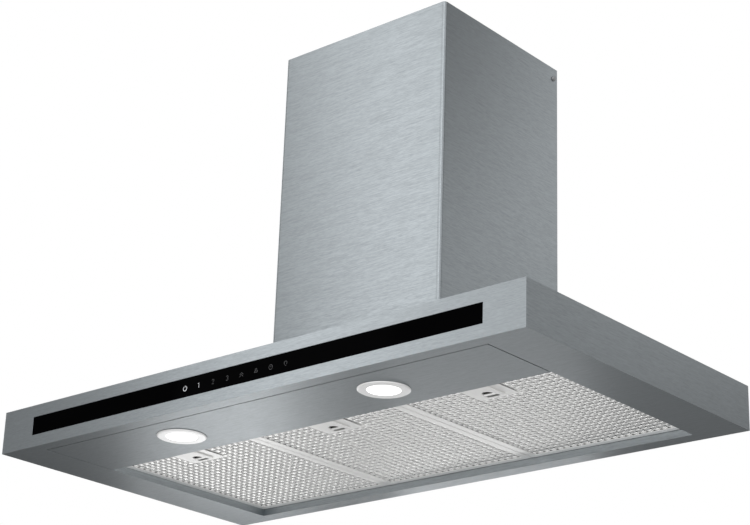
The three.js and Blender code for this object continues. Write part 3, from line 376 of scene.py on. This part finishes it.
def symbol_ink(name, colour, glow):
    """Fine lines that glow as brightly as said."""
    material, tree, shader = new_material(name)
    dots = noise(tree, place(tree), scale=2500, detail=1)
    low = tuple(0.85 * c for c in colour)
    tree.links.new(blend_colour(tree, dots, low, colour), shader.inputs["Base Color"])
    tree.links.new(blend_value(tree, dots, 0.5, 0.65), shader.inputs["Roughness"])
    shader.inputs["Emission Color"].default_value = (0.95, 0.97, 1, 1)
    shader.inputs["Emission Strength"].default_value = glow
    return material


finishes = {
    "stainless": brushed_steel(
        "satin_stainless", (0.288, 0.313, 0.328), (0.372, 0.404, 0.424), smooth=0.31, rough=0.38
    ),
    "ground_steel": brushed_steel(
        "ground_bar", (0.40, 0.41, 0.42), (0.52, 0.53, 0.54), smooth=0.16, rough=0.26
    ),
    "galvanised": galvanised_sheet("galvanised_sheet"),
    "aluminium": aluminium_with_painted_shade(
        "aluminium_with_painted_shade", FILTER_FACE + HOLLOW_LEVEL, HOLLOW_DEPTH
    ),
    "aluminium_net": plain_metal(
        "drawn_aluminium", (0.95, 0.95, 0.94), (0.99, 0.99, 0.98),
        smooth=0.22, rough=0.32, scale=600, relief=0.08, metallic=0.72,
    ),
    "chrome": plain_metal(
        "polished_ring", (0.84, 0.84, 0.84), (0.90, 0.90, 0.90),
        smooth=0.30, rough=0.36, scale=150, relief=0.01, metallic=0.45,
    ),
    "screw_steel": plain_metal(
        "zinc_plate", (0.27, 0.275, 0.28), (0.37, 0.375, 0.38),
        smooth=0.34, rough=0.46, scale=900, relief=0.04,
    ),
    "spring_steel": plain_metal(
        "blued_strip", (0.055, 0.06, 0.072), (0.11, 0.115, 0.13),
        smooth=0.26, rough=0.40, scale=300, relief=0.04,
    ),
    "cast_metal": plain_metal(
        "die_casting", (0.24, 0.25, 0.26), (0.38, 0.39, 0.40),
        smooth=0.48, rough=0.64, scale=520, relief=0.35,
    ),
    "black_glass": black_glass("black_backed_glass"),
    "frosted_glass": lamp_glass("lit_frosted_glass"),
    "black_plastic": moulded_plastic(
        "black_moulding", (0.008, 0.008, 0.009), (0.016, 0.016, 0.018)
    ),
    "grey_plastic": moulded_plastic("grey_moulding", (0.09, 0.095, 0.10), (0.14, 0.145, 0.15)),
    "circuit_board": board_lacquer("green_lacquer"),
    "cable_sheath": moulded_plastic(
        "cable_sheath", (0.02, 0.021, 0.022), (0.034, 0.035, 0.036), rough=0.42
    ),
}
# the latch grips get the same painted shade in their hollows, from a level below the filter's face
grip_metal = aluminium_with_painted_shade("grip_aluminium_painted_shade", FILTER_FACE + GRIP_LEVEL, GRIP_DEPTH)
rim_metal = plain_metal(
    "rolled_rim", (0.86, 0.86, 0.85), (0.95, 0.95, 0.94),
    smooth=0.34, rough=0.46, scale=420, relief=0.06, metallic=0.8,
)
# painted shade: the inner nets are coloured dark grey instead of bright aluminium, for the little light
# that reaches them through the slots
inner_net_painted_shade = plain_metal(
    "inner_net_painted_shade", (0.14, 0.14, 0.138), (0.34, 0.34, 0.335),
    smooth=0.4, rough=0.6, scale=700, relief=0.2, metallic=0.8,
)
lit_ink = symbol_ink("lit_symbol", (0.8, 0.82, 0.85), SYMBOL_GLOW)
dim_ink = symbol_ink("unlit_symbol", (0.11, 0.11, 0.115), 0)


# ---------------------------------------------------------------- CAD nodes
def shading_group():
    """Geometry nodes that shade a surface smoothly, except over sharp edges."""
    group = bpy.data.node_groups.new("shade_by_angle", "GeometryNodeTree")
    group.interface.new_socket("Geometry", in_out="INPUT", socket_type="NodeSocketGeometry")
    group.interface.new_socket("Geometry", in_out="OUTPUT", socket_type="NodeSocketGeometry")
    start = group.nodes.new("NodeGroupInput")
    end = group.nodes.new("NodeGroupOutput")
    flat = put(group, "GeometryNodeRemoveAttribute", {0: start.outputs[0], "Name": "custom_normal"})
    smooth = put(
        group, "GeometryNodeSetShadeSmooth",
        {"Geometry": flat.outputs[0], "Shade Smooth": True}, domain="FACE",
    )
    angle = put(group, "GeometryNodeInputMeshEdgeAngle").outputs["Unsigned Angle"]
    sharp = put(
        group, "FunctionNodeCompare", {0: angle, 1: SMOOTH_ANGLE}, operation="GREATER_THAN"
    )
    edged = put(
        group, "GeometryNodeSetShadeSmooth",
        {"Geometry": smooth.outputs[0], "Selection": sharp.outputs[0], "Shade Smooth": False},
        domain="EDGE",
    )
    group.links.new(edged.outputs[0], end.inputs[0])
    return group


shade_by_angle = shading_group()


def soften(obj, edge):
    """Welds a faceted solid's faces, rounds its edges a little and shades its curves smoothly."""
    weld = obj.modifiers.new("weld", "WELD")
    weld.merge_threshold = WELD_REACH
    flats = obj.modifiers.new("flats", "DECIMATE")
    flats.decimate_type = "DISSOLVE"
    flats.angle_limit = FLAT_ANGLE
    if edge:
        bevel = obj.modifiers.new("edges", "BEVEL")
        bevel.width = edge
        bevel.segments = EDGE_SEGMENTS
        bevel.limit_method = "ANGLE"
        bevel.angle_limit = EDGE_ANGLE
        bevel.use_clamp_overlap = True
    obj.modifiers.new("shading", "NODES").node_group = shade_by_angle
    weighted = obj.modifiers.new("normals", "WEIGHTED_NORMAL")
    weighted.keep_sharp = True


# how far the edges are rounded, by the start of a node's name
EDGES = {
    "canopy_shell": 0.35 * MM,
    "lamp_panel": 0.15 * MM,
    "chimney_lower": 0.3 * MM,
    "chimney_upper": 0.3 * MM,
    "control_glass": 0.3 * MM,
    "filter_handle": 0.35 * MM,
    "latch_grip": 0.35 * MM,
    "filter_frame": 0.2 * MM,
}
# the nodes that don't get their slot's finish, by the start of their names
OWN_FINISHES = {"latch_grip": grip_metal, "filter_frame": rim_metal}


def by_start(table, name, other):
    """The table's value for the name, or the other value."""
    for start, value in table.items():
        if name.startswith(start):
            return value
    return other


for node_name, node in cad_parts.items():
    slot = node.material_slots[0]
    slot.material = by_start(OWN_FINISHES, node_name, finishes[slot.material.name])
    soften(node, by_start(EDGES, node_name, 0))


# ---------------------------------------------------------------- pieces made here
def mesh_object(name, mesh_builder, slot_name):
    """A smoothly shaded object from a bmesh, with the slot's finish."""
    mesh = bpy.data.meshes.new(name)
    mesh_builder.to_mesh(mesh)
    mesh_builder.free()
    for face in mesh.polygons:
        face.use_smooth = True
    obj = bpy.data.objects.new(name, mesh)
    bpy.context.scene.collection.objects.link(obj)
    mesh.materials.append(finishes[slot_name])
    return obj


def thicken(obj, thickness):
    """Gives a surface its sheet's thickness, half to each side."""
    sheet = obj.modifiers.new("sheet", "SOLIDIFY")
    sheet.thickness = thickness
    sheet.offset = 0


def filter_place(side):
    """The middle of the filter's front edge on its lower face, its half width and its length."""
    low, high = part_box(f"filter_frame_{side}")
    origin = Vector(((low.x + high.x) / 2, low.y, low.z))
    return origin, (high.x - low.x) / 2, high.y - low.y - TAB_REACH


def cut(builder, point, normal, clear):
    """Cuts along a plane, and clears away what lies past it if asked."""
    everything = builder.verts[:] + builder.edges[:] + builder.faces[:]
    bmesh.ops.bisect_plane(
        builder, geom=everything, dist=CUT_REACH, plane_co=point, plane_no=normal,
        clear_outer=clear,
    )


def cut_notch(builder, origin):
    """Takes out the sheet round the latch's cup."""
    planes = (
        ((origin.x - CUP_HALF, 0, 0), (1, 0, 0)),
        ((origin.x + CUP_HALF, 0, 0), (1, 0, 0)),
        ((0, origin.y + CUP_LENGTH, 0), (0, 1, 0)),
    )
    for point, normal in planes:
        cut(builder, point, normal, clear=False)
    inside = []
    for face in builder.faces:
        centre = face.calc_center_median()
        if abs(centre.x - origin.x) < CUP_HALF and centre.y < origin.y + CUP_LENGTH:
            inside.append(face)
    bmesh.ops.delete(builder, geom=inside, context="FACES")


def trim_to_channel(builder, origin, half, length):
    """Trims a sheet to the inside of the filter's folded rim, and notches it at the latch."""
    wall = FRAME_SHEET + FRAME_PLAY
    planes = (
        ((origin.x + half - wall, 0, 0), (1, 0, 0)),
        ((origin.x - half + wall, 0, 0), (-1, 0, 0)),
        ((0, origin.y + length - wall, 0), (0, 1, 0)),
        ((0, origin.y + wall, 0), (0, -1, 0)),
    )
    for point, normal in planes:
        cut(builder, point, normal, clear=True)
    cut_notch(builder, origin)


def slot_half(from_corner):
    """Half a slot's width along its arm, in cells."""
    return SLOT_HALF * max(0, 1 - (from_corner / SLOT_ARM) ** 2)


def cell_vertex(column, row, a, b):
    """Where vertex (a, b) of a cell lies, in cells, with the slots' edges drawn apart."""
    x = column + a / CELL_FACES
    y = row + b / CELL_FACES
    if a == 0 and b == CELL_FACES:
        return x + SLOT_HALF, y - SLOT_HALF
    if a in (0, CELL_FACES) and b in (0, CELL_FACES):
        return x - SLOT_HALF, y + SLOT_HALF
    if a in (0, CELL_FACES):
        x += slot_half(1 - b / CELL_FACES) * (1 if a == 0 else -1)
    if b in (0, CELL_FACES):
        y += slot_half(a / CELL_FACES) * (1 if b == 0 else -1)
    return x, y


def cell_depth(u, v):
    """How far the metal swells down at (u, v): most in a cell's middle, a little beside its slot."""
    swell = max(0, math.sin(math.pi * u) * math.sin(math.pi * v)) ** PILLOW_FULLNESS
    rear = v * v * slot_half(u) / SLOT_HALF
    left = (1 - u) ** 2 * slot_half(1 - v) / SLOT_HALF
    return PILLOW_HEIGHT * swell + LIP_HEIGHT * (1 - (1 - rear) * (1 - left))


def fill_grid(builder, grid):
    """Faces over rows of vertices."""
    for row, following in zip(grid, grid[1:]):
        for i in range(len(row) - 1):
            builder.faces.new((row[i], row[i + 1], following[i + 1], following[i]))


def drawn_net(side):
    """Drawn aluminium net: square pillows, each with a bent slot round its rear left corner."""
    origin, half, length = filter_place(side)
    start = FILTER_RIM - NET_PITCH / 2  # the lattice begins half a cell under the rim
    window = half - start
    columns = round(2 * window / NET_PITCH)
    rows = round((length - 2 * start) / NET_PITCH)
    step_x = 2 * window / columns
    step_y = (length - 2 * start) / rows
    builder = bmesh.new()

    def opened(column, row):
        """Whether the net is drawn here, or left flat at the handle."""
        x = (column + 0.5) * step_x - window
        y = start + (row + 0.5) * step_y
        return abs(x) > PAD_HALF + NET_PITCH / 2 or y > PAD_LENGTH + NET_PITCH / 2

    def vertex(column, row, a, b):
        if opened(column, row):
            x, y = cell_vertex(column, row, a, b)
            z = NET_LEVEL - cell_depth(a / CELL_FACES, b / CELL_FACES)
        else:
            x = column + a / CELL_FACES
            y = row + b / CELL_FACES
            z = NET_LEVEL
        return builder.verts.new((
            origin.x - window + x * step_x, origin.y + start + y * step_y, origin.z + z
        ))

    ends = range(CELL_FACES + 1)
    for column in range(-2, columns + 2):
        for row in range(-1, rows + 2):
            fill_grid(builder, [[vertex(column, row, a, b) for a in ends] for b in ends])
    bmesh.ops.remove_doubles(builder, verts=builder.verts[:], dist=NET_MERGE)
    trim_to_channel(builder, origin, half, length)
    net = mesh_object(f"drawn_net_{side}", builder, "aluminium_net")
    thicken(net, NET_SHEET)
    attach(net, f"filter_{side}")
    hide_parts(f"filter_mesh_{side}")


def pleated_pack(side):
    """The fine inner net, folded into pleats along the filter, a little crushed by handling."""
    origin, half, length = filter_place(side)
    builder = bmesh.new()
    columns = PLEATS * PLEAT_FACES
    middle = (PLEAT_LOW + PLEAT_HIGH) / 2
    swing = (PLEAT_HIGH - PLEAT_LOW) / 2

    def vertex(u, v):
        fold = math.cos(2 * math.pi * PLEATS * u)
        dent = sum(size * math.sin(along * v + across * u) for size, along, across in DENTS)
        z = origin.z + middle - swing * (PLEAT_SWING * fold + dent)
        return builder.verts.new((origin.x + (2 * u - 1) * half, origin.y + v * length, z))

    fill_grid(builder, [
        [vertex(column / columns, row / PLEAT_ROWS) for column in range(columns + 1)]
        for row in range(PLEAT_ROWS + 1)
    ])
    trim_to_channel(builder, origin, half, length)
    pack = mesh_object(f"pleated_net_{side}", builder, "aluminium_net")
    # the pack gets the darker finish, its colour holding painted shade
    pack.data.materials[0] = inner_net_painted_shade
    thicken(pack, NET_SHEET)
    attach(pack, f"filter_{side}")
    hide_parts(f"filter_media_{side}")


for side in SIDES:
    drawn_net(side)
    pleated_pack(side)


# ---------------------------------------------------------------- symbols of the touch strip
SYMBOL_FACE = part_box("control_glass")[0].y - SYMBOL_GAP


def arc(centre, radius, start, end, steps=24):
    """Points of an arc in the strip's plane, with the angles in degrees from straight up."""
    points = []
    for i in range(steps + 1):
        angle = math.radians(start + (end - start) * i / steps)
        points.append((centre[0] + radius * math.sin(angle), centre[1] + radius * math.cos(angle)))
    return points


def line_piece(name, strokes, ink):
    """Thin flat lines on the glass; each stroke is a list of (x, z) points."""
    curve = bpy.data.curves.new(name, "CURVE")
    curve.dimensions = "3D"
    curve.bevel_depth = SYMBOL_LINE
    curve.bevel_resolution = SYMBOL_ROUNDNESS
    curve.use_fill_caps = True
    for stroke in strokes:
        spline = curve.splines.new("POLY")
        spline.points.add(len(stroke) - 1)
        for point, (x, z) in zip(spline.points, stroke):
            point.co = (x, 0, z, 1)
    obj = bpy.data.objects.new(name, curve)
    obj.location = (0, SYMBOL_FACE, 0)
    obj.scale = (1, SYMBOL_FLATNESS, 1)
    bpy.context.scene.collection.objects.link(obj)
    curve.materials.append(ink)
    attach(obj, "root")


def digit(number, x, ink):
    """1, 2 or 3, drawn with the same line as the symbols."""
    tall = SYMBOL_SIZE / 2
    wide = 0.26 * SYMBOL_SIZE
    z = SYMBOL_LEVEL
    upper = (x, z + tall - wide)
    lower = (x, z - tall + wide)
    strokes = {
        1: [[(x - wide, z + tall - wide), (x, z + tall), (x, z - tall)]],
        2: [arc(upper, wide, -80, 120, 12) + [(x - wide, z - tall), (x + wide, z - tall)]],
        3: [arc(upper, wide, -70, 170, 12) + arc(lower, wide, 10, 250, 12)],
    }
    line_piece(f"digit_{number}", strokes[number], ink)


def touch_symbols():
    """Power, speeds 1 to 3, boost, fan, clock and lamp, from left to right, measured in radii."""
    radius = SYMBOL_SIZE / 2
    places = [(SYMBOL_START + i * SYMBOL_STEP, SYMBOL_LEVEL) for i in range(SYMBOLS)]
    x, z = places[0]
    stem = [(x, z + 0.55 * radius), (x, z + 1.25 * radius)]
    line_piece("symbol_power", [arc((x, z), radius, 35, 325), stem], lit_ink)
    digit(1, places[1][0], lit_ink)
    digit(2, places[2][0], dim_ink)
    digit(3, places[3][0], dim_ink)
    x, z = places[4]
    rises = []
    for lift in (-0.5 * radius, 0.35 * radius):
        foot = z + lift - 0.45 * radius
        top = z + lift + 0.45 * radius
        rises.append([(x - radius, foot), (x, top), (x + radius, foot)])
    line_piece("symbol_boost", rises, dim_ink)
    x, z = places[5]
    blades = []
    for turn in (0, 120, 240):
        tip = arc((x, z), 0.55 * radius, turn, turn, 1)[0]
        blades.append(arc(tip, 0.42 * radius, turn - 150, turn + 150, 12))
    line_piece("symbol_fan", blades, dim_ink)
    x, z = places[6]
    hands = [(x, z + 0.6 * radius), (x, z), (x + 0.45 * radius, z)]
    line_piece("symbol_clock", [arc((x, z), radius, 0, 360), hands], dim_ink)
    x, z = places[7]
    bulb = arc((x, z + 0.2 * radius), 0.75 * radius, -150, 150)
    foot = [(x - 0.3 * radius, z - 0.95 * radius), (x + 0.3 * radius, z - 0.95 * radius)]
    line_piece("symbol_lamp", [bulb, foot], dim_ink)


touch_symbols()


# ---------------------------------------------------------------- cables inside the hood
CABLE_RADIUS = 2.5 * MM
CABLE_ROUNDNESS = 5
ROUTE_STEPS = 12  # from one point of a route to the next

# the routes' points, in millimetres
CONTROL_ROUTE = (
    (-60, -466.5, 0), (-60, -458.5, 0), (-68, -446.5, 15), (-94, -432.5, 24), (-140, -414.5, 24),
    (-260, -354.3, 20.5), (-264, -338.3, 16.5), (-264, -330.3, 16.5),
)
MOTOR_ROUTE = (
    (-219.7, -270, 16.5), (-211.7, -270, 16.5), (-169.7, -256, 13.5), (-116.8, -210, 16.5),
    (-104.8, -194, 38), (-104.8, -164, 70), (-104.8, -130, 128), (-95.6, -114, 149),
    (-86.6, -114, 150), (-81.6, -114, 150),
)


def smooth_route(points):
    """Points along the smooth curve through a route's points, its knots spaced by chord roots."""
    points = [Vector(point) * MM for point in points]
    ends = [2 * points[0] - points[1], *points, 2 * points[-1] - points[-2]]
    route = []
    for a, b, c, d in zip(ends, ends[1:], ends[2:], ends[3:]):
        first, second, third = ((b - a).length ** 0.5, (c - b).length ** 0.5, (d - c).length ** 0.5)
        leave = ((b - a) / first - (c - a) / (first + second) + (c - b) / second) * second
        reach = ((c - b) / second - (d - b) / (second + third) + (d - c) / third) * second
        for step in range(ROUTE_STEPS):
            t = step / ROUTE_STEPS
            route.append(
                b * (2 * t**3 - 3 * t**2 + 1) + leave * (t**3 - 2 * t**2 + t)
                + c * (3 * t**2 - 2 * t**3) + reach * (t**3 - t**2)
            )
    return [*route, points[-1]]


def held_cable(name, points, node):
    """A sheathed cable along its clipped route."""
    curve = bpy.data.curves.new(name, "CURVE")
    curve.dimensions = "3D"
    curve.bevel_depth = CABLE_RADIUS
    curve.bevel_resolution = CABLE_ROUNDNESS
    curve.use_fill_caps = True
    route = smooth_route(points)
    spline = curve.splines.new("POLY")
    spline.points.add(len(route) - 1)
    for point, co in zip(spline.points, route):
        point.co = (*co, 1)
    spline.use_smooth = True
    obj = bpy.data.objects.new(name, curve)
    bpy.context.scene.collection.objects.link(obj)
    curve.materials.append(finishes["cable_sheath"])
    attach(obj, "root")
    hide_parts(node)


held_cable("control_lead", CONTROL_ROUTE, "control_cable")
held_cable("motor_lead", MOTOR_ROUTE, "motor_cable")


# ---------------------------------------------------------------- studio
FLOOR_LEVEL = -3.2
FLOOR_REACH = 60
WORLD_FILL = 0.85
LAMP_POWER = 4  # watts for each square metre of a lamp whose radiance is 1

# the points that the lamps and cards are turned to
FRONT = Vector((0, -0.45, 0.1))
RIGHT = Vector((0.15, -0.1, 0.2))
UNDER = Vector((0, -0.3, -0.03))

# name, place, aim, width, height and radiance
LAMPS = (
    ("front_box", (-1.21, -1.82, 0.66), FRONT, 0.47, 1.0, 0.83),
    ("front_high", (-1.1, -1.65, 1.45), FRONT, 0.45, 0.8, 0.83),
    ("corner_box", (0.08, -2.15, 1.05), FRONT, 1.2, 1.2, 0.44),
    ("fold_box", (1.15, -1.75, 1.05), FRONT, 1.0, 1.2, 0.9),
    ("under_middle", (-1.38, 0.94, -0.62), UNDER, 0.52, 0.4, 1.5),
    ("rear_box", (-0.29, 0.44, -0.19), (0.06, -0.02, -0.03), 0.34, 0.16, 0.85),
    ("up_box", (0.0, -0.5, -1.15), UNDER, 1.3, 1.0, 0.9),
)

# name, place, aim, width, height and grey level
CARDS = (
    ("left_card", (-2.15, -1.55, 0.9), FRONT, 1.3, 2.6, 0.34),
    ("side_card_low", (1.6, 1.25, 0.3), RIGHT, 2.6, 0.9, 0.28),
    ("side_card_high", (1.6, 0.75, 1.6), RIGHT, 1.5, 1.2, 0.16),
    ("under_card_left", (-2.25, 0.55, -0.65), UNDER, 1.6, 1.1, 0.05),
    ("under_card_right", (-0.62, 0.97, -0.76), UNDER, 1.1, 0.56, 0.02),
    ("rear_card", (-0.83, 0.42, -0.18), (-0.34, -0.02, -0.03), 0.4, 0.18, 0.12),
    ("under_card_far", (-0.26, 1.5, -0.85), UNDER, 1.05, 1.15, 0.08),
)


def floor_surface():
    """Pale matt paint, a little cloudy."""
    material, tree, shader = new_material("studio_floor")
    cloud = noise(tree, place(tree), 0.6, 2)
    colour = blend_colour(tree, cloud, (0.74, 0.74, 0.74), (0.78, 0.78, 0.78))
    tree.links.new(colour, shader.inputs["Base Color"])
    shader.inputs["Roughness"].default_value = 0.9
    shader.inputs["Specular IOR Level"].default_value = 0.1
    return material


def floor():
    """A wide level floor, far enough below to be out of the way of views from below."""
    builder = bmesh.new()
    bmesh.ops.create_grid(builder, x_segments=4, y_segments=4, size=FLOOR_REACH)
    mesh = bpy.data.meshes.new("floor")
    builder.to_mesh(mesh)
    builder.free()
    obj = bpy.data.objects.new("floor", mesh)
    obj.location = (0, 0, FLOOR_LEVEL)
    mesh.materials.append(floor_surface())
    bpy.context.scene.collection.objects.link(obj)


def aim(obj, at, towards):
    """Places an object and turns its -Z to a point."""
    obj.location = at
    way = Vector(towards) - Vector(at)
    obj.rotation_euler = way.to_track_quat("-Z", "Y").to_euler()


def softbox(name, at, towards, width, height, radiance):
    """An area lamp that shows its face at the given radiance."""
    light = bpy.data.lights.new(name, "AREA")
    light.shape = "RECTANGLE"
    light.size = width
    light.size_y = height
    light.energy = LAMP_POWER * width * height * radiance
    obj = bpy.data.objects.new(name, light)
    aim(obj, at, towards)
    obj.visible_camera = False
    bpy.context.scene.collection.objects.link(obj)


def card(name, at, towards, width, height, grey):
    """A grey studio card that only reflections see, with its face at the given level."""
    builder = bmesh.new()
    bmesh.ops.create_grid(builder, x_segments=2, y_segments=2, size=0.5)
    bmesh.ops.scale(builder, vec=(width, height, 1), verts=builder.verts)
    mesh = bpy.data.meshes.new(name)
    builder.to_mesh(mesh)
    builder.free()
    obj = bpy.data.objects.new(name, mesh)
    aim(obj, at, towards)
    material, _, shader = new_material(name)
    shader.inputs["Base Color"].default_value = (0, 0, 0, 1)
    shader.inputs["Roughness"].default_value = 1
    shader.inputs["Specular IOR Level"].default_value = 0
    shader.inputs["Emission Color"].default_value = (1, 1, 1, 1)
    shader.inputs["Emission Strength"].default_value = grey
    mesh.materials.append(material)
    bpy.context.scene.collection.objects.link(obj)
    obj.visible_camera = False
    obj.visible_diffuse = False
    obj.visible_shadow = False


def studio_world(fill):
    """White for the camera and in reflections, and a plainer level as soft light."""
    world = bpy.data.worlds.new("studio")
    bpy.context.scene.world = world
    world.use_nodes = True
    tree = world.node_tree
    tree.nodes.clear()
    path = put(tree, "ShaderNodeLightPath").outputs
    seen = math_node(tree, "MAXIMUM", path["Is Camera Ray"], path["Is Glossy Ray"])
    seen = math_node(tree, "MAXIMUM", seen, path["Is Transmission Ray"])
    strength = blend_value(tree, seen, fill, 1.0)
    background = put(tree, "ShaderNodeBackground", {"Color": (1, 1, 1, 1), "Strength": strength})
    end = tree.nodes.new("ShaderNodeOutputWorld")
    tree.links.new(background.outputs[0], end.inputs["Surface"])


studio_world(WORLD_FILL)
floor()
for lamp in LAMPS:
    softbox(*lamp)
for screen in CARDS:
    card(*screen)


def camera():
    """The camera that the picture is taken with."""
    lens = bpy.data.cameras.new("camera")
    lens.sensor_width = SENSOR_WIDTH
    lens.lens = CAMERA_LENS
    lens.clip_start = VIEW_START
    lens.clip_end = VIEW_END
    obj = bpy.data.objects.new("camera", lens)
    obj.location = CAMERA_PLACE
    obj.rotation_euler = Euler([math.radians(a) for a in CAMERA_TURN], "XYZ")
    bpy.context.scene.collection.objects.link(obj)
    bpy.context.scene.camera = obj


camera()
bpy.context.scene.view_settings.view_transform = "Standard"
